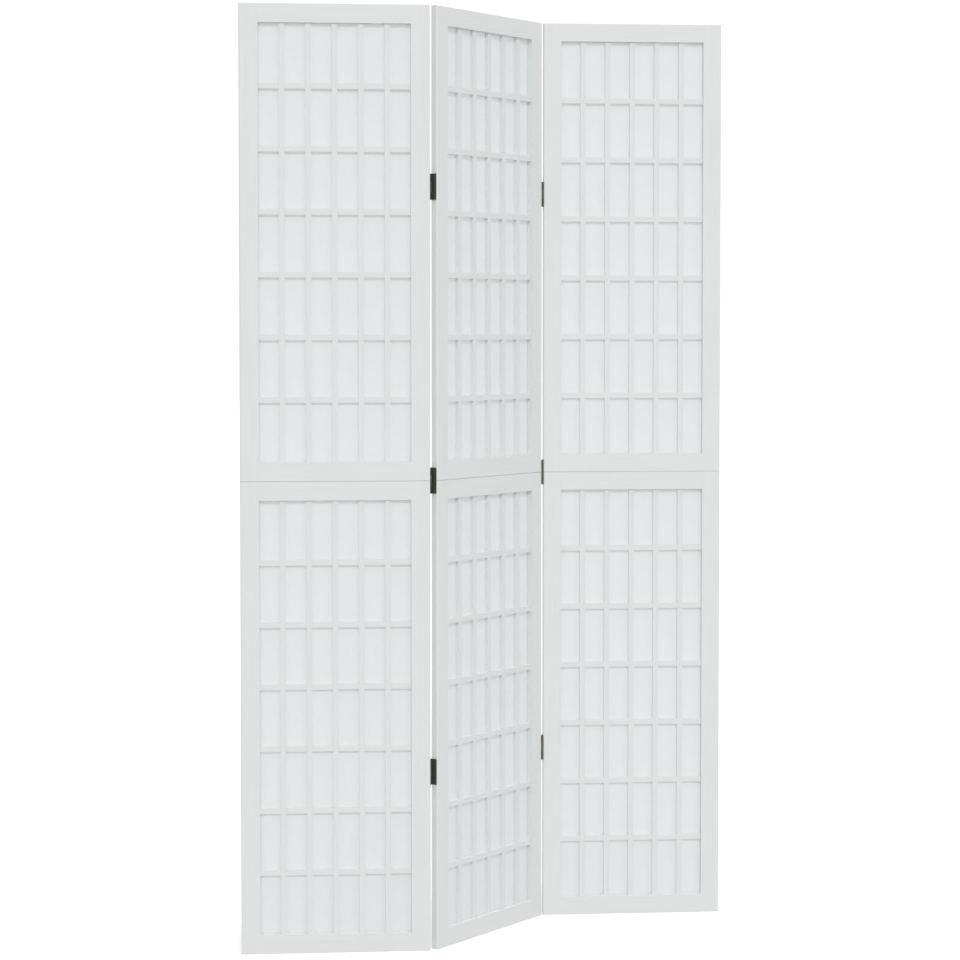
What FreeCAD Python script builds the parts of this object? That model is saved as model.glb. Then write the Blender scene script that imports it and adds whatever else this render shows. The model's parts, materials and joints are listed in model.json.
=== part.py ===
"""Folding room divider: three panels, each of two stacked lattice frames with a sheet, on butt hinges.

Millimetres, +Z up. The origin is on the floor under the centre of the middle panel. The two outer
panels run along X and turn their lattice side to -Y; the middle panel is turned by the fold angle.
"""
import FreeCAD, Part
import os
import re
import Sketcher

# Driving dimensions: each is one cell of the document's sheet
SIZES = {
    # panels
    "panel_width": 400,
    "half_height": 1000,
    "panel_depth": 16,
    "stile_width": 40,
    "rail_height": 40,
    "edge_radius": 3,
    "end_bevel": 1,
    # joinery of the frames
    "tenon_depth": 6,
    "tenon_shoulder": 6,
    "tenon_wall": 3,
    "mortise_gap": 1,
    "glue_gap": 0.1,
    "seam_tenon_width": 10,
    "seam_tenon_length": 40,
    # lattice and sheet
    "bar_width": 12,
    "bar_depth": 8,
    "upright_count": 5,
    "crossbar_count": 6,
    "sheet_thickness": 0.5,
    "sheet_edge_gap": 0.5,
    "groove_depth": 5,
    # hinges
    "fold_angle": 50,
    "hinge_inset": 380,
    "hinge_height": 55,
    "leaf_thickness": 1.1,
    "leaf_gap": 0.8,
    "leaf_margin": 2,
    "pin_radius": 1.1,
    "pin_clearance": 0.05,
    "pin_standoff": 1,
    "knuckle_gap": 0.3,
    "knuckle_count": 3,
    # every cut that leaves through a face runs this far past it
    "overrun": 2,
}

# Sizes that follow from the driving ones, as expressions
PANEL_HEIGHT = "(2 * half_height)"
OPENING_WIDTH = "(panel_width - 2 * stile_width)"
OPENING_HEIGHT = "(half_height - 2 * rail_height)"
TENON_LENGTH = "(stile_width / 2 - seam_tenon_width / 2 - tenon_wall)"
TENON_HEIGHT = "(rail_height - 2 * tenon_shoulder)"
# upright bars leave equal panes; crossbars are set out by their centres
UPRIGHT_PITCH = f"(({OPENING_WIDTH} + bar_width) / (upright_count + 1))"
CROSSBAR_PITCH = f"({OPENING_HEIGHT} / (crossbar_count + 1))"
FIRST_UPRIGHT = f"-(upright_count - 1) / 2 * {UPRIGHT_PITCH}"
FIRST_CROSSBAR = f"rail_height + {CROSSBAR_PITCH}"
SHEET_MIDDLE = "((bar_depth + sheet_thickness) / 2)"
SHEET_REACH = "(groove_depth - sheet_edge_gap)"
GROOVE_WIDTH = "(sheet_thickness + 2 * glue_gap)"
# the gap between two panels in line holds both leaves; a knuckle is a leaf rolled round the pin
JOINT_GAP = "(2 * leaf_thickness + leaf_gap)"
KNUCKLE_RADIUS = "(pin_radius + leaf_thickness)"
KNUCKLE_LENGTH = "(hinge_height / knuckle_count)"
LEAF_REACH = "(pin_standoff + panel_depth - leaf_margin)"
# the pins' place in a panel's own frame, from its centre
PIN_ALONG = f"((panel_width + {JOINT_GAP}) / 2)"
PIN_ACROSS = "(panel_depth / 2 + pin_standoff)"

TOLERANCE_SHARE = 1e-6

doc = FreeCAD.newDocument("RoomDivider")
sheet = doc.addObject("Spreadsheet::Sheet", "Sizes")
for row, (alias, value) in enumerate(SIZES.items(), 1):
    sheet.set(f"A{row}", alias)
    sheet.set(f"B{row}", str(value))
    sheet.setAlias(f"B{row}", alias)
doc.recompute()

nodes = []


def cells(text):
    """The expression with each size's name replaced by its cell of the sheet."""
    return re.sub(r"\b[a-z_]+\b", lambda word: ("Sizes." if word[0] in SIZES else "") + word[0], text)


def bind(thing, **sizes):
    for name, text in sizes.items():
        thing.setExpression(name, cells(text))


def new_body(label, frame=None):
    """An empty body; with a frame it is a sub-part that stands in it."""
    body = doc.addObject("PartDesign::Body", label)
    body.Label = label
    if frame:
        stand(body, frame)
    return body


def stand(thing, frame, shift="vector(0; 0; 0)", turn="rotation(vector(0; 0; 1); 0)"):
    """Places a sub-part in a frame, with a shift and a turn of its own."""
    thing.setExpression("Placement", cells(f"{frame}.Placement * placement({shift}; {turn})"))
    nodes.append(thing)


def origin_feature(body, role):
    return next(feature for feature in body.Origin.OriginFeatures if feature.Role == role)


def new_sketch(body, plane, place, turn=0):
    """A sketch on one of the body's planes, its origin at place: across, up and out of that plane."""
    sketch = body.newObject("Sketcher::SketchObject", "Sketch")
    sketch.AttachmentSupport = (origin_feature(body, plane), [""])
    sketch.MapMode = "FlatFace"
    sketch.AttachmentOffset.Rotation = FreeCAD.Rotation(FreeCAD.Vector(0, 0, 1), turn)
    for axis, text in zip("xyz", place):
        sketch.setExpression(f"AttachmentOffset.Base.{axis}", cells(text))
    return sketch


def bound_constraint(sketch, text, *arguments):
    """Adds a constraint whose value, given last as a first guess, follows an expression."""
    number = sketch.addConstraint(Sketcher.Constraint(*arguments))
    sketch.setExpression(f"Constraints[{number}]", cells(text))


def outline(sketch, corners):
    """A closed run of lines through corners, in order."""
    points = [FreeCAD.Vector(x, y, 0) for x, y in corners]
    for number, point in enumerate(points):
        sketch.addGeometry(Part.LineSegment(point, points[(number + 1) % len(points)]), False)
    for number in range(len(points)):
        sketch.addConstraint(Sketcher.Constraint("Coincident", number, 2, (number + 1) % len(points), 1))


def rectangle(body, plane, width, height, place, turn=0):
    """A rectangle centred on place."""
    sketch = new_sketch(body, plane, place, turn)
    outline(sketch, [(-1, -1), (1, -1), (1, 1), (-1, 1)])
    for side in (0, 2):
        sketch.addConstraint(Sketcher.Constraint("Horizontal", side))
    for side in (1, 3):
        sketch.addConstraint(Sketcher.Constraint("Vertical", side))
    sketch.addConstraint(Sketcher.Constraint("Symmetric", 0, 1, 1, 2, -1, 1))
    bound_constraint(sketch, width, "Distance", 0, 1.0)
    bound_constraint(sketch, height, "Distance", 1, 1.0)
    return sketch


def circle(body, plane, radius, place):
    """A circle centred on place."""
    sketch = new_sketch(body, plane, place)
    sketch.addGeometry(Part.Circle(FreeCAD.Vector(), FreeCAD.Vector(0, 0, 1), 1), False)
    sketch.addConstraint(Sketcher.Constraint("Coincident", 0, 3, -1, 1))
    bound_constraint(sketch, radius, "Radius", 0, 1.0)
    return sketch


def extrude(body, kind, profile, length, symmetric=False, reverse=False):
    """A Pad or a Pocket of a sketch, on one side of it or half on each."""
    feature = body.newObject(f"PartDesign::{kind}", kind)
    feature.Profile = profile
    feature.SideType = "Symmetric" if symmetric else "One side"
    feature.Reversed = reverse
    bind(feature, Length=length)
    body.Tip = feature
    return feature


def repeat(body, original, axis, count, pitch):
    """A row of copies of one feature, or of the whole body where original is None."""
    pattern = body.newObject("PartDesign::LinearPattern", "LinearPattern")
    if original:
        pattern.Originals = [original]
    else:
        pattern.TransformMode = "Whole shape"
    pattern.Direction = (origin_feature(body, axis), [""])
    pattern.Mode = "Spacing"
    bind(pattern, Occurrences=count, Offset=pitch)
    body.Tip = pattern
    return pattern


def dress(body, kind, size, chosen):
    """A Fillet or a Chamfer on the edges of the body so far whose middles are chosen."""
    doc.recompute()
    base = body.Tip
    feature = body.newObject(f"PartDesign::{kind}", kind)
    edges = [f"Edge{n}" for n, edge in enumerate(base.Shape.Edges, 1) if chosen(edge.CenterOfMass)]
    feature.Base = (base, edges)
    bind(feature, **{"Radius" if kind == "Fillet" else "Size": size})
    body.Tip = feature
    return feature


def level(value, *sizes):
    """Whether a coordinate lies at a distance from the origin that is the sum of some sizes."""
    return abs(abs(value) - sum(sizes)) < TOLERANCE_SHARE * SIZES["half_height"]


def size(name):
    return float(SIZES[name])


def bevel_ends(body, middle, width, height):
    """Bevels the front and back edges at the foot and at the top of a member, right across it."""
    edge = rectangle(body, "YZ_Plane", "sqrt(2) * end_bevel", "sqrt(2) * end_bevel",
                     ("-panel_depth / 2", "0", middle), turn=45)
    cut = extrude(body, "Pocket", edge, f"{width} + 2 * overrun", symmetric=True)
    rows = repeat(body, cut, "Z_Axis", "2", height)
    rows.Direction2 = (origin_feature(body, "Y_Axis"), [""])
    rows.Mode2 = "Spacing"
    bind(rows, Occurrences2="2", Offset2="panel_depth")


def make_stile(label, frame, side):
    """A stile on the side -1 or 1 of a half-frame whose foot is at z = 0 and whose seam is at the top."""
    body = new_body(label, frame)
    middle = f"{side} * (panel_width - stile_width) / 2"
    inner = f"{side} * {OPENING_WIDTH} / 2"
    extrude(body, "Pad", rectangle(body, "XY_Plane", "stile_width", "panel_depth", (middle, "0", "0")),
            "half_height")
    dress(body, "Fillet", "edge_radius", lambda p: level(p.x, size("panel_width") / 2)
          and level(p.y, size("panel_depth") / 2))
    bevel_ends(body, middle, "stile_width", "half_height")

    def mortise(wide, high, depth, across, up):
        cut = rectangle(body, "YZ_Plane", wide, high, (across, up, inner))
        return extrude(body, "Pocket", cut, depth, reverse=side > 0)

    tenon = mortise("tenon_depth + 2 * glue_gap", f"{TENON_HEIGHT} + 2 * glue_gap",
                    f"{TENON_LENGTH} + mortise_gap", "0", "rail_height / 2")
    repeat(body, tenon, "Z_Axis", "2", "half_height - rail_height")
    mortise(GROOVE_WIDTH, f"{OPENING_HEIGHT} + 2 * groove_depth", "groove_depth", SHEET_MIDDLE,
            "half_height / 2")
    socket = rectangle(body, "XY_Plane", "seam_tenon_width + 2 * glue_gap", "tenon_depth + 2 * glue_gap",
                       (middle, "0", "half_height"))
    extrude(body, "Pocket", socket, "seam_tenon_length / 2 + mortise_gap")


def make_rail(label, frame, at_seam):
    """The rail at the foot of a half-frame, or the one at its seam."""
    body = new_body(label, frame)
    foot = "half_height - rail_height" if at_seam else "0"
    inner = foot if at_seam else "rail_height"
    extrude(body, "Pad", rectangle(body, "XY_Plane", OPENING_WIDTH, "panel_depth", ("0", "0", foot)),
            "rail_height")
    bevel_ends(body, "0", OPENING_WIDTH, "half_height")
    tenons = rectangle(body, "YZ_Plane", "tenon_depth", TENON_HEIGHT, ("0", f"{foot} + rail_height / 2", "0"))
    extrude(body, "Pad", tenons, f"{OPENING_WIDTH} + 2 * {TENON_LENGTH}", symmetric=True)
    groove = rectangle(body, "XY_Plane", f"{OPENING_WIDTH} + 2 * overrun", GROOVE_WIDTH,
                       ("0", SHEET_MIDDLE, inner))
    extrude(body, "Pocket", groove, "groove_depth", reverse=at_seam)


def make_uprights(label, frame):
    """The upright bars of a lattice, notched at the back where the crossbars pass."""
    body = new_body(label, frame)
    bar = rectangle(body, "XZ_Plane", "bar_width", f"{OPENING_HEIGHT} - 2 * glue_gap",
                    (FIRST_UPRIGHT, "half_height / 2", "0"))
    first = extrude(body, "Pad", bar, "bar_depth", symmetric=True)
    repeat(body, first, "X_Axis", "upright_count", UPRIGHT_PITCH)
    notch = rectangle(body, "XZ_Plane", OPENING_WIDTH, "bar_width + 2 * glue_gap", ("0", FIRST_CROSSBAR, "0"))
    cut = extrude(body, "Pocket", notch, "bar_depth / 2 + overrun")
    repeat(body, cut, "Z_Axis", "crossbar_count", CROSSBAR_PITCH)


def make_crossbars(label, frame):
    """The crossbars of a lattice, notched at the front where the uprights pass."""
    body = new_body(label, frame)
    bar = rectangle(body, "XZ_Plane", f"{OPENING_WIDTH} - 2 * glue_gap", "bar_width",
                    ("0", FIRST_CROSSBAR, "0"))
    first = extrude(body, "Pad", bar, "bar_depth", symmetric=True)
    repeat(body, first, "Z_Axis", "crossbar_count", CROSSBAR_PITCH)
    notch = rectangle(body, "XZ_Plane", "bar_width + 2 * glue_gap", OPENING_HEIGHT,
                      (FIRST_UPRIGHT, "half_height / 2", "0"))
    cut = extrude(body, "Pocket", notch, "bar_depth / 2 + overrun", reverse=True)
    repeat(body, cut, "X_Axis", "upright_count", UPRIGHT_PITCH)


def make_sheet(label, frame):
    """The sheet behind the lattice, its edges in the frame's groove."""
    body = new_body(label, frame)
    face = rectangle(body, "XZ_Plane", f"{OPENING_WIDTH} + 2 * {SHEET_REACH}",
                     f"{OPENING_HEIGHT} + 2 * {SHEET_REACH}", ("0", "half_height / 2", "-bar_depth / 2"))
    extrude(body, "Pad", face, "sheet_thickness", reverse=True)


def make_seam_tenons(label, frame):
    """The loose tenons across the seam of a panel, one in each pair of stiles."""
    body = new_body(label, frame)
    end = rectangle(body, "XY_Plane", "seam_tenon_width", "tenon_depth",
                    ("-(panel_width - stile_width) / 2", "0", "half_height - seam_tenon_length / 2"))
    first = extrude(body, "Pad", end, "seam_tenon_length")
    repeat(body, first, "X_Axis", "2", "panel_width - stile_width")


def make_leaf(label, windows, pinned):
    """A hinge leaf about its pin's axis, with its panel at +X and the pin's side of the panel at +Y.

    The windows are where the other leaf's knuckles turn. One leaf of a hinge holds the riveted pin."""
    body = new_body(label)
    plate = rectangle(body, "YZ_Plane", LEAF_REACH, "hinge_height",
                      (f"-{LEAF_REACH} / 2", "0", f"{JOINT_GAP} / 2 - leaf_thickness"))
    extrude(body, "Pad", plate, "leaf_thickness")
    barrel = circle(body, "XY_Plane", KNUCKLE_RADIUS, ("0", "0", "0"))
    extrude(body, "Pad", barrel, "hinge_height", symmetric=True)
    window = rectangle(body, "YZ_Plane", f"2 * {KNUCKLE_RADIUS} + knuckle_gap + overrun",
                       f"{KNUCKLE_LENGTH} + knuckle_gap",
                       ("(overrun - knuckle_gap) / 2", f"-{windows - 1} * {KNUCKLE_LENGTH}", "0"))
    cut = extrude(body, "Pocket", window, f"2 * ({KNUCKLE_RADIUS} + overrun)", symmetric=True)
    repeat(body, cut, "Z_Axis", str(windows), f"2 * {KNUCKLE_LENGTH}")
    if pinned:
        pin = circle(body, "XY_Plane", "pin_radius", ("0", "0", "0"))
        extrude(body, "Pad", pin, "hinge_height", symmetric=True)
    else:
        bore = circle(body, "XY_Plane", "pin_radius + pin_clearance", ("0", "0", "0"))
        extrude(body, "Pocket", bore, "hinge_height + 2 * overrun", symmetric=True)
    return body


def make_frame(name, place):
    frame = doc.addObject("App::Placement", name)
    frame.setExpression("Placement", cells(place))
    return name


def make_half(panel, half, frame):
    """One half-frame. The upper half is the lower one turned upside down in its own plane."""
    upright = half == "lower"
    for side in (-1, 1):
        hand = "left" if (side < 0) == upright else "right"
        make_stile(f"{panel}_{half}_{hand}_stile", frame, side)
    for at_seam in (False, True):
        end = "top" if at_seam == upright else "bottom"
        make_rail(f"{panel}_{half}_{end}_rail", frame, at_seam)
    make_uprights(f"{panel}_{half}_uprights", frame)
    make_crossbars(f"{panel}_{half}_crossbars", frame)
    make_sheet(f"{panel}_{half}_sheet", frame)


def make_hinge(name, height, inner_at, outer_at):
    """One butt hinge. Each leaf is given by its panel's frame, its pin's place there and its turn."""
    for leaf, windows, (frame, along, across, turn) in (("inner", 1, inner_at), ("outer", 2, outer_at)):
        body = make_leaf(f"{name}_{leaf}_leaf", windows, pinned=leaf == "inner")
        stand(body, frame, f"vector({along}; {across}; {height})", turn)


# The outer panels' centres, from the middle panel's centre through the pins
outer_x = f"({PIN_ALONG} * (1 + cos(fold_angle)) + {PIN_ACROSS} * sin(fold_angle))"
outer_y = f"({PIN_ALONG} * sin(fold_angle) + {PIN_ACROSS} * (1 - cos(fold_angle)))"
upright_turn = "rotation(vector(0; 0; 1); {})"
PANELS = {
    "left": (f"vector(-{outer_x}; -{outer_y}; 0)", upright_turn.format("0")),
    "middle": ("vector(0; 0; 0)", upright_turn.format("fold_angle")),
    "right": (f"vector({outer_x}; {outer_y}; 0)", upright_turn.format("0")),
}
for panel, (centre, turn) in PANELS.items():
    lower = make_frame(f"{panel}_panel", f"placement({centre}; {turn})")
    upside_down = f"placement(vector(0; 0; {PANEL_HEIGHT}); rotation(vector(0; 1; 0); 180))"
    upper = make_frame(f"{panel}_upper_half", f"{lower}.Placement * {upside_down}")
    make_half(panel, "lower", lower)
    make_half(panel, "upper", upper)
    make_seam_tenons(f"{panel}_seam_tenons", lower)

# The left joint has its pins behind the panels and the right joint in front of them
HINGE_HEIGHTS = {
    "lower": "hinge_inset",
    "centre": "half_height",
    "upper": f"{PANEL_HEIGHT} - hinge_inset",
}
no_turn = "rotation(vector(0; 0; 1); 0)"
half_turn = "rotation(vector({}); 180)"
for position, height in HINGE_HEIGHTS.items():
    make_hinge(f"left_{position}_hinge", height,
               ("middle_panel", f"-{PIN_ALONG}", PIN_ACROSS, no_turn),
               ("left_panel", PIN_ALONG, PIN_ACROSS, half_turn.format("0; 1; 0")))
    make_hinge(f"right_{position}_hinge", height,
               ("middle_panel", PIN_ALONG, f"-{PIN_ACROSS}", half_turn.format("0; 0; 1")),
               ("right_panel", f"-{PIN_ALONG}", f"-{PIN_ACROSS}", half_turn.format("1; 0; 0")))

doc.recompute()

for thing in doc.Objects:
    if "Invalid" in thing.State or "Error" in thing.State:
        raise RuntimeError(f"{thing.Label} failed: {thing.State}")
for node in nodes:
    if node.Shape.isNull() or not node.Shape.isValid() or not node.Shape.Solids:
        raise RuntimeError(f"{node.Label} has no valid shape")

os.makedirs("parts", exist_ok=True)
for node in nodes:
    node.Shape.exportStep(f"parts/{node.Label}.step")
print(len(nodes), "nodes,", sum(len(node.Shape.Solids) for node in nodes), "solids")
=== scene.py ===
"""Looks of the folding room divider: an add-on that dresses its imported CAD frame.

Row frame, metres, +Z up. Painted members, tenons and hinge leaves keep their CAD solids and get
procedural materials. The sheets and the hinge screws are surfaces made here.
"""
import json
import math

import bpy
import numpy as np
from bpy.props import FloatProperty, FloatVectorProperty, IntProperty, PointerProperty
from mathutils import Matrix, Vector


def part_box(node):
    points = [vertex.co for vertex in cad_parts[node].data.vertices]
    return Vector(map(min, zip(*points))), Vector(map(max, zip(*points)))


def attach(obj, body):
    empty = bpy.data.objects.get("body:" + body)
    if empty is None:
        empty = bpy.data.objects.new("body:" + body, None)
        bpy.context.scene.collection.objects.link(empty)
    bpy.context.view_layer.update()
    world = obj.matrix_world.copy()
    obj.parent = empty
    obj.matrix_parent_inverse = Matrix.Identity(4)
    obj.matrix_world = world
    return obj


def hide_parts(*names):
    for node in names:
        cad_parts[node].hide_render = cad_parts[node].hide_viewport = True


bl_info = {
    "name": "Folding room divider",
    "version": (1, 0, 0),
    "blender": (4, 5, 0),
    "location": "View3D > Sidebar > Divider",
    "description": "Dresses the room divider's CAD frame with paint, sheets, hinges and a stage",
    "category": "Object",
}

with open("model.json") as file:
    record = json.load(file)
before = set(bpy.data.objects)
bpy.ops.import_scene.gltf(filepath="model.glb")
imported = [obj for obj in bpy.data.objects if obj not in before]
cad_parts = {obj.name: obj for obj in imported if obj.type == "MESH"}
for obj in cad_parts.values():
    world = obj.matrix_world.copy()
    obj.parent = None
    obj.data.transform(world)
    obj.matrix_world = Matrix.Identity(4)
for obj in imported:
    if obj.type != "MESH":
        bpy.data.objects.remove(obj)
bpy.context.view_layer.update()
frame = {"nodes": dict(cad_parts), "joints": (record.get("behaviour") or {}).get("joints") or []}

UP = np.array((0.0, 0.0, 1.0))
# the joints' lower limit is flat, so it tells how far the middle panel is turned at rest
FOLD = -math.radians(frame["joints"][0]["range_deg"][0])
TURNS = {"left": 0.0, "middle": FOLD, "right": 0.0}
HALVES = ("lower", "upper")
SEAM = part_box("middle_lower_top_rail")[1].z
UPRIGHT_MEMBERS = ("left_stile", "right_stile", "uprights")
LEVEL_MEMBERS = ("top_rail", "bottom_rail", "crossbars")
HINGE_HEIGHTS = ("lower", "centre", "upper")
LAMPS = ("key", "top", "back")
SENSOR_WIDTH = 36.0
WHITE = (1.0, 1.0, 1.0, 1.0)
# bar edges that are nearer than a tenth of a millimetre count as one
EDGE_DECIMALS = 4

# levels of noise between which each pattern fades in
PORES = (0.30, 0.62)
MOTTLES = (0.25, 0.70)
STRANDS = (0.40, 0.62)
CLOUDS = (0.30, 0.70)
RUBBED = (0.46, 0.74)
RINGS = (0.35, 0.68)
# share of the joint's reach over which its painted shade fades
SEAM_SHADE_FADE = 0.2


class PanelPlace:
    """A panel's place: its centre on the floor, and the directions along and behind its face."""

    def __init__(self, panel):
        low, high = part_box(f"{panel}_lower_bottom_rail")
        turn = TURNS[panel]
        self.centre = np.array(((low.x + high.x) / 2, (low.y + high.y) / 2, 0.0))
        self.along = np.array((math.cos(turn), math.sin(turn), 0.0))
        self.behind = np.array((-math.sin(turn), math.cos(turn), 0.0))

    def points(self, along, behind, up):
        """Row-frame points from distances along the panel, behind its middle plane and up."""
        along, behind, up = np.broadcast_arrays(along, behind, up)
        return self.centre + sum(part[..., None] * way for part, way in
                                 ((along, self.along), (behind, self.behind), (up, UP)))

    def local(self, node):
        """A node's vertices as distances along the panel, behind its middle plane and up."""
        vertices = frame["nodes"][node].data.vertices
        flat = np.empty(len(vertices) * 3)
        vertices.foreach_get("co", flat)
        directions = np.stack((self.along, self.behind, UP), axis=1)
        return (flat.reshape(-1, 3) - self.centre) @ directions


class Signal:
    """A node tree's output socket that adds, subtracts, multiplies and divides like a number."""

    def __init__(self, tree, socket):
        self.tree = tree
        self.socket = socket

    def node(self, kind, inputs, output=0, **settings):
        """Any other node of the tree. Its inputs, by name or number, take signals or constants."""
        made = self.tree.nodes.new(kind)
        for name, value in settings.items():
            setattr(made, name, value)
        for key, value in inputs.items():
            feed(self.tree, made.inputs[key], value)
        return Signal(self.tree, made.outputs[output])

    def maths(self, operation, *values):
        """A Math node on signals or constants."""
        return self.node("ShaderNodeMath", dict(enumerate(values)), operation=operation)

    def __add__(self, other):
        return self.maths("ADD", self, other)

    def __sub__(self, other):
        return self.maths("SUBTRACT", self, other)

    def __rsub__(self, other):
        return self.maths("SUBTRACT", other, self)

    def __mul__(self, other):
        return self.maths("MULTIPLY", self, other)

    def __truediv__(self, other):
        return self.maths("DIVIDE", self, other)

    def __rtruediv__(self, other):
        return self.maths("DIVIDE", other, self)

    __radd__ = __add__
    __rmul__ = __mul__

    def noise(self, scale, detail=3.0, roughness=0.5):
        """Fractal noise at this place, from 0 to 1."""
        return self.node("ShaderNodeTexNoise", {"Vector": self, "Scale": scale, "Detail": detail,
                                                "Roughness": roughness})

    def stretched(self, scale):
        """This place with each of its axes scaled."""
        return self.node("ShaderNodeMapping", {"Vector": self, "Scale": tuple(scale)})

    def step(self, low, high):
        """A smooth step from 0 at low to 1 at high."""
        return self.node("ShaderNodeMapRange", {"Value": self, "From Min": low, "From Max": high},
                         interpolation_type="SMOOTHSTEP")

    def blend(self, first, second):
        """The first colour where this signal is 0 and the second where it is 1."""
        first, second = (part if isinstance(part, Signal) else (*part, 1.0)
                         for part in (first, second))
        return self.node("ShaderNodeMix", {0: self, 6: first, 7: second}, output=2,
                         data_type="RGBA")

    def near(self, level, reach):
        """1 where this signal is at a level, falling to 0 a little past its reach."""
        away = self - level
        fade = SEAM_SHADE_FADE * reach
        return 1.0 - away.maths("ABSOLUTE", away).step(reach - fade, reach + fade)

    def bump(self, strength, depth):
        """The normal of a surface with this height."""
        return self.node("ShaderNodeBump",
                         {"Height": self, "Strength": strength, "Distance": depth})


def feed(tree, socket, value):
    """Links a signal to an input socket, or sets the input to a constant."""
    if isinstance(value, Signal):
        tree.links.new(value.socket, socket)
    else:
        socket.default_value = value


def new_material(name):
    """An empty procedural material, its shader and the place on the object."""
    material = bpy.data.materials.new(name)
    material.use_nodes = True
    tree = material.node_tree
    place = Signal(tree, tree.nodes.new("ShaderNodeTexCoord").outputs["Object"])
    return material, tree.nodes["Principled BSDF"], place


def shade(material, shader, **inputs):
    """Feeds the shader's inputs, named with underscores for spaces."""
    for name, value in inputs.items():
        feed(material.node_tree, shader.inputs[name.replace("_", " ").title()], value)
    return material


def dress(node, material):
    """Gives a CAD node's object one material."""
    slots = frame["nodes"][node].data.materials
    slots.clear()
    slots.append(material)


def grid_quads(rows, columns):
    """The quads of a grid of points, numbered row by row."""
    first = np.arange(rows - 1)[:, None] * columns + np.arange(columns - 1)
    corners = (first, first + 1, first + columns + 1, first + columns)
    return np.stack(corners, axis=-1).reshape(-1, 4)


def disc_points(radius, spokes, rings):
    """Points of a flat disc in two directions: its middle, then evenly spaced rings of spokes."""
    away = np.repeat(np.linspace(0.0, radius, rings + 1)[1:], spokes)
    angle = np.tile(np.linspace(0.0, 2.0 * np.pi, spokes, endpoint=False), rings)
    return np.append(0.0, away * np.cos(angle)), np.append(0.0, away * np.sin(angle))


def disc_faces(spokes, rings, first):
    """The triangles round a disc's middle, point number first, and the quads between its rings."""
    spoke = np.arange(spokes)
    after = (spoke + 1) % spokes
    inner = first + 1 + np.arange(rings - 1)[:, None] * spokes
    outer = inner + spokes
    middle = np.stack((np.full(spokes, first), first + 1 + spoke, first + 1 + after), axis=-1)
    quads = np.stack((inner + spoke, outer + spoke, outer + after, inner + after), axis=-1)
    return middle.tolist() + quads.reshape(-1, 4).tolist()


def new_piece(name, points, faces, material, body):
    """A smooth surface in the row frame that rides on a body."""
    mesh = bpy.data.meshes.new(name)
    mesh.from_pydata(points.reshape(-1, 3).tolist(), [], faces)
    mesh.shade_smooth()
    mesh.materials.append(material)
    piece = bpy.data.objects.new(name, mesh)
    bpy.context.scene.collection.objects.link(piece)
    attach(piece, body)
    return piece


class DividerPaint(bpy.types.PropertyGroup):
    """The white paint on the wooden members."""
    colour: FloatVectorProperty(name="Colour", description="Paint on the high spots",
                                subtype="COLOR", default=(0.741, 0.760, 0.757))
    hollow: FloatVectorProperty(name="Hollow", description="Paint in the grain's pores",
                                subtype="COLOR", default=(0.716, 0.731, 0.728))
    # the joint colour is painted shade: darker paint for the band in the seam's groove between the
    # two frames, in place of the shade that falls there
    joint: FloatVectorProperty(name="Joint", description="Paint in the joint between the frames",
                               subtype="COLOR", default=(0.610, 0.625, 0.622))
    seam_shade_reach: FloatProperty(name="Joint reach", description="Half the width of the joint",
                               default=0.001, unit="LENGTH")
    roughness: FloatProperty(name="Roughness", description="Mean roughness of the satin paint",
                             default=0.46, subtype="FACTOR", min=0.0, max=1.0)
    across: FloatProperty(name="Grain across", description="Grain lines per metre across a member",
                          default=420.0)
    lengthwise: FloatProperty(name="Grain lengthwise",
                              description="Grain features per metre along a member", default=9.0)
    brush: FloatProperty(name="Brush", description="Brush lines for each grain line", default=2.5)
    mottle: FloatProperty(name="Mottle", description="Patches of sheen per metre", default=6.0)
    film: FloatProperty(name="Film", description="Specks of the paint film per metre",
                        default=1400.0)
    relief: FloatProperty(name="Relief", description="Depth of the grain under the paint",
                          default=0.00012, unit="LENGTH")


class DividerSheet(bpy.types.PropertyGroup):
    """The translucent sheets."""
    colour: FloatVectorProperty(name="Colour", description="Colour between the fibres",
                                subtype="COLOR", default=(0.770, 0.784, 0.795))
    fibre: FloatVectorProperty(name="Fibre", description="Colour of the denser fibres",
                               subtype="COLOR", default=(0.811, 0.823, 0.835))
    translucency: FloatProperty(name="Translucency",
                                description="Share of the light that passes through", default=0.35,
                                subtype="FACTOR", min=0.0, max=1.0)
    level_strands: FloatVectorProperty(name="Level strands",
                                       description="Strands per metre along each axis",
                                       subtype="XYZ", default=(210.0, 210.0, 900.0))
    upright_strands: FloatVectorProperty(name="Upright strands", subtype="XYZ",
                                         description="Strands per metre along each axis",
                                         default=(900.0, 900.0, 160.0))
    roughness: FloatProperty(name="Roughness", description="Mean roughness", default=0.80,
                             subtype="FACTOR", min=0.0, max=1.0)
    clouds: FloatProperty(name="Clouds", description="Thick and thin patches per metre",
                          default=24.0)
    waves: FloatProperty(name="Waves", description="Waves of the surface per metre", default=38.0)
    relief: FloatProperty(name="Relief", description="Depth of the strands", default=0.0001,
                          unit="LENGTH")
    slack: FloatProperty(name="Slack", description="How far the sheet swells back within a pane",
                         default=0.0003, unit="LENGTH")
    clearance: FloatProperty(name="Clearance", description="Glue between the bars and the sheet",
                             default=0.00003, unit="LENGTH")
    columns: IntProperty(name="Columns", description="Points across a sheet", default=64, min=8)
    rows: IntProperty(name="Rows", description="Points up a sheet", default=144, min=8)


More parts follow.
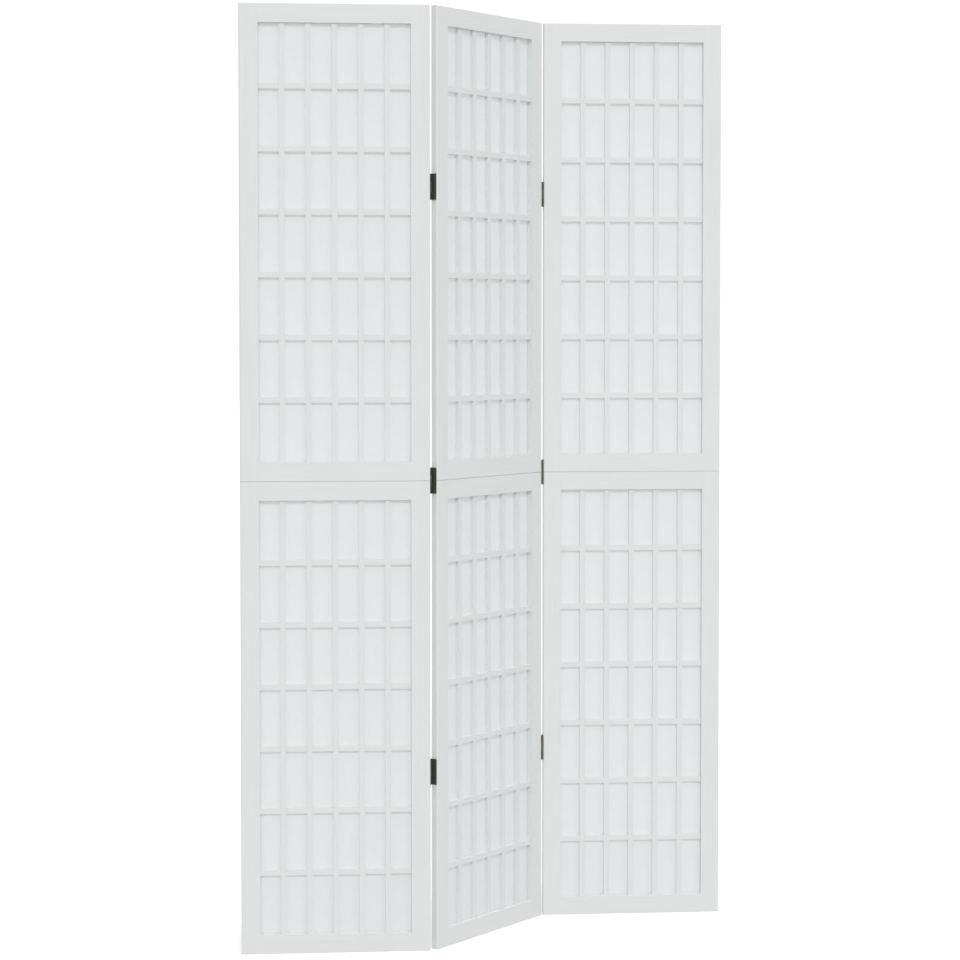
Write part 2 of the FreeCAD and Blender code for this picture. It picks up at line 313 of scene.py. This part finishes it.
class DividerHinge(bpy.types.PropertyGroup):
    """The dark hinges and their screws."""
    colour: FloatVectorProperty(name="Colour", description="Dark finish", subtype="COLOR",
                                default=(0.113, 0.109, 0.088))
    rubbed: FloatVectorProperty(name="Rubbed", description="Finish where it is rubbed",
                                subtype="COLOR", default=(0.240, 0.226, 0.185))
    roughness: FloatProperty(name="Roughness", description="Mean roughness", default=0.42,
                             subtype="FACTOR", min=0.0, max=1.0)
    patches: FloatProperty(name="Patches", description="Patches of wear per metre", default=260.0)
    brushed: FloatVectorProperty(name="Brushed",
                                 description="Brush marks per metre along each axis",
                                 subtype="XYZ", default=(3000.0, 3000.0, 120.0))
    relief: FloatProperty(name="Relief", description="Depth of the brush marks", default=0.00004,
                          unit="LENGTH")
    leaf_wear: FloatProperty(name="Leaf wear", description="How far a leaf's finish is rubbed",
                             default=0.45, subtype="FACTOR", min=0.0, max=1.0)
    screw_wear: FloatProperty(name="Screw wear", description="How far a screw's finish is rubbed",
                              default=0.9, subtype="FACTOR", min=0.0, max=1.0)
    leaf_thickness: FloatProperty(name="Leaf thickness", description="Thickness of a hinge leaf",
                                  default=0.0011, unit="LENGTH")
    screw_radius: FloatProperty(name="Screw radius", description="Radius of a screw's head",
                                default=0.0026, unit="LENGTH")
    screw_crown: FloatProperty(name="Screw crown",
                               description="Height of the head's crown over the leaf",
                               default=0.00026, unit="LENGTH")
    screw_fall: FloatProperty(name="Screw fall",
                              description="Fall of the crown to the rim, as its share",
                              default=0.6, subtype="FACTOR", min=0.0, max=1.0)
    screw_spacing: FloatProperty(name="Screw spacing",
                                 description="Distance between a leaf's screws", default=0.034,
                                 unit="LENGTH")
    recess_length: FloatProperty(name="Recess length",
                                 description="Length of an arm of the cross recess",
                                 default=0.0015, unit="LENGTH")
    recess_width: FloatProperty(name="Recess width",
                                description="Half the width of the cross recess", default=0.00034,
                                unit="LENGTH")
    recess_depth: FloatProperty(name="Recess depth",
                                description="Depth of the recess, as the crown's share",
                                default=0.75, subtype="FACTOR", min=0.0, max=1.0)
    spokes: IntProperty(name="Spokes", description="Points around a screw's head", default=64,
                        min=16)
    rings: IntProperty(name="Rings", description="Points from a screw's middle to its rim",
                       default=20, min=6)


class DividerTenon(bpy.types.PropertyGroup):
    """The bare wood of the hidden seam tenons."""
    early: FloatVectorProperty(name="Early wood", description="Pale wood", subtype="COLOR",
                               default=(0.560, 0.390, 0.225))
    late: FloatVectorProperty(name="Late wood", description="Dark rings", subtype="COLOR",
                              default=(0.360, 0.220, 0.110))
    roughness: FloatProperty(name="Roughness", description="Mean roughness", default=0.72,
                             subtype="FACTOR", min=0.0, max=1.0)
    grain: FloatVectorProperty(name="Grain", description="Grain lines per metre along each axis",
                               subtype="XYZ", default=(420.0, 420.0, 10.0))
    waves: FloatVectorProperty(name="Waves",
                               description="Waves of the grain per metre along each axis",
                               subtype="XYZ", default=(60.0, 60.0, 4.0))
    relief: FloatProperty(name="Relief", description="Depth of the grain", default=0.0001,
                          unit="LENGTH")


class DividerStage(bpy.types.PropertyGroup):
    """Camera, floor and light."""
    camera_at: FloatVectorProperty(name="Camera", description="Place of the camera", subtype="XYZ",
                                   unit="LENGTH", default=(-0.526, -5.6855, 1.3286))
    heading: FloatProperty(name="Heading", description="Camera's turn from the +Y direction",
                           unit="ROTATION", default=math.radians(-5.109))
    tilt: FloatProperty(name="Tilt", description="Camera's tilt below the horizon",
                        unit="ROTATION", default=math.radians(2.331))
    lens: FloatProperty(name="Lens",
                        description="Focal length in millimetres on a 36 mm wide sensor",
                        default=98.44)
    shift: FloatProperty(name="Shift", description="Vertical shift of the lens", default=-0.05)
    floor_size: FloatProperty(name="Floor", description="Side of the floor", default=80.0,
                              unit="LENGTH")
    floor_colour: FloatVectorProperty(name="Floor colour", description="Pale floor",
                                      subtype="COLOR", default=(0.850, 0.855, 0.855))
    floor_glow: FloatProperty(name="Floor glow", description="Light of the floor's own",
                              default=0.10)
    floor_patches: FloatProperty(name="Floor patches",
                                 description="Patches of the floor's tone per metre", default=3.0)
    floor_shade: FloatProperty(name="Floor shade",
                               description="Brightness of the floor's darker patches",
                               default=0.985, subtype="FACTOR", min=0.0, max=1.0)
    floor_roughness: FloatProperty(name="Floor roughness", description="Roughness of the floor",
                                   default=0.9, subtype="FACTOR", min=0.0, max=1.0)
    surround: FloatProperty(name="Surround", description="Strength of the surround's soft light",
                            default=0.71)
    lean: FloatProperty(name="Lean", description="How much brighter the surround is on the right",
                        default=0.13)
    backdrop: FloatProperty(name="Backdrop",
                            description="Brightness of the white behind the object", default=1.05)
    key_from: FloatVectorProperty(name="Key from",
                                  description="Direction that the key light comes from",
                                  subtype="DIRECTION", default=(0.0, -0.85, 0.527))
    lamp_spread: FloatProperty(name="Lamp spread",
                               description="Angle that each lamp fills in the sky",
                               unit="ROTATION", default=math.radians(10.0))
    key_strength: FloatProperty(name="Key strength", description="Strength of the key light",
                                default=1.0)
    top_from: FloatVectorProperty(name="Top from",
                                  description="Direction that the top light comes from",
                                  subtype="DIRECTION", default=(0.04, -0.10, 1.0))
    top_strength: FloatProperty(name="Top strength", description="Strength of the top light",
                                default=0.75)
    back_from: FloatVectorProperty(name="Back from",
                                   description="Direction that the back light comes from",
                                   subtype="DIRECTION", default=(-0.30, 0.80, 0.52))
    back_strength: FloatProperty(name="Back strength", description="Strength of the back light",
                                 default=0.6)


GROUPS = {
    "divider_paint": DividerPaint,
    "divider_sheet": DividerSheet,
    "divider_hinge": DividerHinge,
    "divider_tenon": DividerTenon,
    "divider_stage": DividerStage,
}


def paint_material(name, look, turn, upright):
    """Satin white paint on wood whose grain runs along the member.

    The grain is noise drawn out along the member. The pores are its low spots, the brush lines
    are the same noise made finer, and the mottle and the film are even noise at a large and a
    small scale. The joint is a level band at the height of the seam, given a darker paint as
    painted shade in the seam's groove."""
    material, shader, place = new_material(name)
    place = place.node("ShaderNodeVectorRotate", {"Vector": place, "Angle": -turn},
                       rotation_type="Z_AXIS")
    across, lengthwise = look.across, look.lengthwise
    scale = np.array((across, across, lengthwise) if upright else (lengthwise, across, across))
    grain = place.stretched(scale).noise(1.0, detail=4.0, roughness=0.6)
    pores = grain.step(*PORES)
    brush = place.stretched(look.brush * scale).noise(1.0, detail=2.0)
    mottle = place.noise(look.mottle, detail=2.0)
    film = place.noise(look.film, detail=2.0)
    shine = look.roughness + 0.16 * (mottle - 0.5) + 0.10 * (grain - 0.5) + 0.06 * (film - 0.5)
    relief = 0.55 * pores + 0.30 * brush + 0.15 * film
    paint = (0.72 * pores + 0.28 * mottle.step(*MOTTLES)).blend(look.hollow, look.colour)
    height = place.node("ShaderNodeSeparateXYZ", {"Vector": place}, output=2)
    # painted shade: a band at the seam's height gets the darker joint colour, standing in for
    # shade in the groove between the frames
    joint = height.near(SEAM, look.seam_shade_reach)
    return shade(material, shader, base_color=joint.blend(paint, look.joint), roughness=shine,
                 normal=relief.bump(0.35, look.relief))


def sheet_material(name, look):
    """A translucent sheet of pressed fibres.

    The strands are the mean of noise drawn out level and noise drawn out upright. Where they
    and the clouds are dense, the sheet is paler and lets a little less light through."""
    material, shader, place = new_material(name)
    tree = material.node_tree
    waves = place.noise(look.waves, detail=2.0)
    level, upright = (place.stretched(scale).noise(1.0, detail=5.0, roughness=0.65)
                      for scale in (look.level_strands, look.upright_strands))
    strands = (level + upright) / 2.0
    clouds = place.noise(look.clouds, detail=4.0, roughness=0.6)
    density = 0.65 * strands.step(*STRANDS) + 0.35 * clouds.step(*CLOUDS)
    colour = density.blend(look.colour, look.fibre)
    normal = (0.8 * strands + 0.2 * waves).bump(0.25, look.relief)
    shade(material, shader, base_color=colour, normal=normal,
          roughness=look.roughness + 0.15 * (clouds - 0.5))
    mean = (np.array(look.colour) + np.array(look.fibre)) / 2.0
    glow = place.node("ShaderNodeBsdfTranslucent", {"Color": (*mean, 1.0), "Normal": normal})
    through = look.translucency + 0.10 * (0.5 - density)
    both = place.node("ShaderNodeMixShader",
                      {0: through, 1: Signal(tree, shader.outputs[0]), 2: glow})
    feed(tree, tree.nodes["Material Output"].inputs["Surface"], both)
    return material


def metal_material(name, look, wear):
    """Dark satin metal with fine upright brush marks, rubbed in patches as far as its wear."""
    material, shader, place = new_material(name)
    patches = place.noise(look.patches, detail=5.0, roughness=0.65)
    brushed = place.stretched(look.brushed).noise(1.0, detail=2.0)
    worn = wear * patches.step(*RUBBED) * (0.6 + 0.4 * brushed)
    return shade(material, shader, base_color=worn.blend(look.colour, look.rubbed),
                 metallic=0.55 + 0.35 * worn,
                 roughness=look.roughness + 0.20 * (patches - 0.5) + 0.12 * (brushed - 0.5),
                 normal=(0.6 * patches + 0.4 * brushed).bump(0.25, look.relief))


def wood_material(name, look):
    """Bare wood whose grain, noise drawn out along the height, wavers with coarser noise."""
    material, shader, place = new_material(name)
    waves = place.stretched(look.waves).noise(1.0, detail=3.0)
    rings = place.stretched(look.grain).noise(1.0, detail=4.0) * 0.7 + 0.3 * waves
    return shade(material, shader, base_color=rings.step(*RINGS).blend(look.early, look.late),
                 roughness=look.roughness + 0.15 * (rings - 0.5),
                 normal=rings.bump(0.3, look.relief))


class PaintMembers(bpy.types.Operator):
    """Paint the stiles, rails and lattice bars white, each along its own grain"""
    bl_idname = "divider.paint_members"
    bl_label = "Paint members"

    def execute(self, context):
        look = context.scene.divider_paint
        for panel, turn in TURNS.items():
            for members, way in ((UPRIGHT_MEMBERS, "upright"), (LEVEL_MEMBERS, "level")):
                material = paint_material(f"paint_{panel}_{way}", look, turn, way == "upright")
                for half in HALVES:
                    for member in members:
                        dress(f"{panel}_{half}_{member}", material)
        return {"FINISHED"}


def bulge(values, edges):
    """How far values are into a pane between bars: the square of a sine, 0 at bars and outside."""
    depth = np.zeros_like(values)
    for low, high in zip(edges[1:-1:2], edges[2:-1:2]):
        share = np.clip((values - low) / (high - low), 0.0, 1.0)
        depth = np.maximum(depth, np.sin(np.pi * share) ** 2)
    return depth


class StretchSheets(bpy.types.Operator):
    """Stretch a translucent sheet behind the lattice of each half panel"""
    bl_idname = "divider.stretch_sheets"
    bl_label = "Stretch sheets"

    def execute(self, context):
        look = context.scene.divider_sheet
        material = sheet_material("screen_sheet", look)
        for panel in TURNS:
            for half in HALVES:
                self.stretch(look, material, panel, half)
        return {"FINISHED"}

    def stretch(self, look, material, panel, half):
        """A grid on the front face of the sheet's solid, pressed back in each pane.

        The swell is the slack times the bulge across the pane and the bulge up it."""
        place = PanelPlace(panel)
        name = f"{panel}_{half}"
        solid = place.local(f"{name}_sheet")
        low, high = solid.min(axis=0), solid.max(axis=0)
        along = np.linspace(low[0], high[0], look.columns)
        up = np.linspace(low[2], high[2], look.rows)
        upright_edges = np.unique(place.local(f"{name}_uprights")[:, 0].round(EDGE_DECIMALS))
        crossbar_edges = np.unique(place.local(f"{name}_crossbars")[:, 2].round(EDGE_DECIMALS))
        swell = bulge(up, crossbar_edges)[:, None] * bulge(along, upright_edges)
        points = place.points(along, low[1] + look.clearance + look.slack * swell, up[:, None])
        faces = grid_quads(look.rows, look.columns).tolist()
        piece = new_piece(f"{name}_screen", points, faces, material, f"{panel}_panel")
        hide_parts(f"{name}_sheet")
        high[0] - low[0]
        high[2] - low[2]


class FinishHinges(bpy.types.Operator):
    """Give the hinge leaves their dark finish and drive their screws"""
    bl_idname = "divider.finish_hinges"
    bl_label = "Finish hinges"

    def execute(self, context):
        look = context.scene.divider_hinge
        leaf_metal = metal_material("hinge_leaf", look, look.leaf_wear)
        screw_metal = metal_material("hinge_screw", look, look.screw_wear)
        for joint, side in (("left", -1), ("right", 1)):
            for height in HINGE_HEIGHTS:
                for leaf, panel, edge in (("inner", "middle", side), ("outer", joint, -side)):
                    name = f"{joint}_{height}_hinge_{leaf}"
                    dress(f"{name}_leaf", leaf_metal)
                    self.drive(look, screw_metal, name, panel, edge)
        return {"FINISHED"}

    def drive(self, look, material, name, panel, edge):
        """Two raised heads with a cross recess, on the face of a leaf on one edge of a panel.

        A head is a disc that stands off the leaf by a crown, less a share of it that grows with
        the square of the distance from the middle, and less the recess. Its rim lies on the
        leaf."""
        place = PanelPlace(panel)
        hand = "right" if edge > 0 else "left"
        face = np.abs(place.local(f"{panel}_lower_{hand}_stile")[:, 0]).max() + look.leaf_thickness
        leaf_up = place.local(f"{name}_leaf")[:, 2]
        behind, over = disc_points(look.screw_radius, look.spokes, look.rings)
        share = np.hypot(behind, over) / look.screw_radius
        recess = look.recess_depth * self.cross(look, behind, over)
        height = look.screw_crown * (1.0 - look.screw_fall * share ** 2 - recess)
        height[-look.spokes:] = 0.0
        points, faces = [], []
        for end in (-1, 1):
            middle = (leaf_up.min() + leaf_up.max() + end * look.screw_spacing) / 2
            faces += disc_faces(look.spokes, look.rings, first=len(points) * len(height))
            points.append(place.points(edge * (face + height), edge * behind, middle + over))
        new_piece(f"{name}_screws", np.concatenate(points), faces, material, f"{panel}_panel")

    def cross(self, look, first, second):
        """1 within the recess's two crossed slots and 0 outside, with sloping walls."""
        wall = look.recess_width / 2
        slots = [np.clip((look.recess_width - np.abs(a)) / wall, 0.0, 1.0)
                 * np.clip((look.recess_length - np.abs(b)) / wall, 0.0, 1.0)
                 for a, b in ((first, second), (second, first))]
        return np.maximum(*slots)


class FitTenons(bpy.types.Operator):
    """Give the hidden seam tenons their bare wood"""
    bl_idname = "divider.fit_tenons"
    bl_label = "Fit tenons"

    def execute(self, context):
        material = wood_material("bare_wood", context.scene.divider_tenon)
        for panel in TURNS:
            dress(f"{panel}_seam_tenons", material)
        return {"FINISHED"}


class SetStage(bpy.types.Operator):
    """Set the camera at the photograph's angle, with a pale floor and soft light"""
    bl_idname = "divider.set_stage"
    bl_label = "Set stage"

    def execute(self, context):
        look = context.scene.divider_stage
        self.set_camera(context.scene, look)
        self.lay_floor(look)
        self.light(context.scene, look)
        context.scene.view_settings.view_transform = "Standard"
        return {"FINISHED"}

    def set_camera(self, scene, look):
        """A camera at eye height, turned and tilted, with its lens shifted."""
        data = bpy.data.cameras.new("camera")
        data.sensor_width = SENSOR_WIDTH
        data.lens = look.lens
        data.shift_y = look.shift
        camera = bpy.data.objects.new("camera", data)
        camera.location = look.camera_at
        camera.rotation_euler = (math.pi / 2 - look.tilt, 0.0, look.heading)
        scene.collection.objects.link(camera)
        scene.camera = camera

    def lay_floor(self, look):
        """A flat square, centred on the origin."""
        side = np.array((-0.5, 0.5)) * look.floor_size
        across, away = np.meshgrid(side, side)
        points = np.stack((across, away, np.zeros_like(across)), axis=-1)
        mesh = bpy.data.meshes.new("floor")
        mesh.from_pydata(points.reshape(-1, 3).tolist(), [], grid_quads(2, 2).tolist())
        material, shader, place = new_material("floor")
        darker = tuple(look.floor_shade * part for part in look.floor_colour)
        pale = place.noise(look.floor_patches).blend(darker, look.floor_colour)
        shade(material, shader, base_color=pale, roughness=look.floor_roughness,
              emission_color=WHITE, emission_strength=look.floor_glow)
        mesh.materials.append(material)
        floor = bpy.data.objects.new("floor", mesh)
        # no bounced light, so the surround reaches the object from below too
        floor.visible_diffuse = False
        bpy.context.scene.collection.objects.link(floor)

    def light(self, scene, look):
        """Lamps that shine from far off, in a surround.

        The surround's strength grows evenly from left to right. The white backdrop, which only
        the camera sees, has a strength of its own."""
        scene.world = bpy.data.worlds.new("surround")
        scene.world.use_nodes = True
        tree = scene.world.node_tree
        seen = Signal(tree, tree.nodes.new("ShaderNodeLightPath").outputs["Is Camera Ray"])
        way = Signal(tree, tree.nodes.new("ShaderNodeTexCoord").outputs["Generated"])
        across = way.node("ShaderNodeSeparateXYZ", {"Vector": way})
        strength = look.surround * (1.0 + look.lean * across)
        surround = way.node("ShaderNodeBackground", {"Color": WHITE, "Strength": strength})
        backdrop = way.node("ShaderNodeBackground", {"Color": WHITE, "Strength": look.backdrop})
        both = way.node("ShaderNodeMixShader", {0: seen, 1: surround, 2: backdrop})
        feed(tree, tree.nodes["World Output"].inputs["Surface"], both)
        for name in LAMPS:
            data = bpy.data.lights.new(name, "SUN")
            data.angle = look.lamp_spread
            data.energy = getattr(look, f"{name}_strength")
            lamp = bpy.data.objects.new(name, data)
            source = Vector(getattr(look, f"{name}_from"))
            lamp.rotation_euler = source.to_track_quat("Z", "Y").to_euler()
            scene.collection.objects.link(lamp)


OPERATORS = (PaintMembers, StretchSheets, FinishHinges, FitTenons, SetStage)


class DividerPanel(bpy.types.Panel):
    """The divider's settings and steps, in the sidebar of the 3D view"""
    bl_idname = "VIEW3D_PT_divider"
    bl_label = "Room divider"
    bl_space_type = "VIEW_3D"
    bl_region_type = "UI"
    bl_category = "Divider"

    def draw(self, context):
        """Each group of settings, with the step that uses them."""
        for (name, group), operator in zip(GROUPS.items(), OPERATORS):
            box = self.layout.box()
            settings = getattr(context.scene, name)
            for setting in group.__annotations__:
                box.prop(settings, setting)
            box.operator(operator.bl_idname)


CLASSES = (*GROUPS.values(), *OPERATORS, DividerPanel)


def register():
    """Adds the add-on's classes, and its settings to each scene."""
    for made in CLASSES:
        bpy.utils.register_class(made)
    for name, group in GROUPS.items():
        setattr(bpy.types.Scene, name, PointerProperty(type=group))


def unregister():
    """Takes the settings and the classes away."""
    for name in GROUPS:
        delattr(bpy.types.Scene, name)
    for made in reversed(CLASSES):
        bpy.utils.unregister_class(made)


def main():
    """Dresses the frame step by step."""
    register()
    bpy.ops.divider.paint_members()
    bpy.ops.divider.stretch_sheets()
    bpy.ops.divider.finish_hinges()
    bpy.ops.divider.fit_tenons()
    bpy.ops.divider.set_stage()


if __name__ == "__main__":
    main()
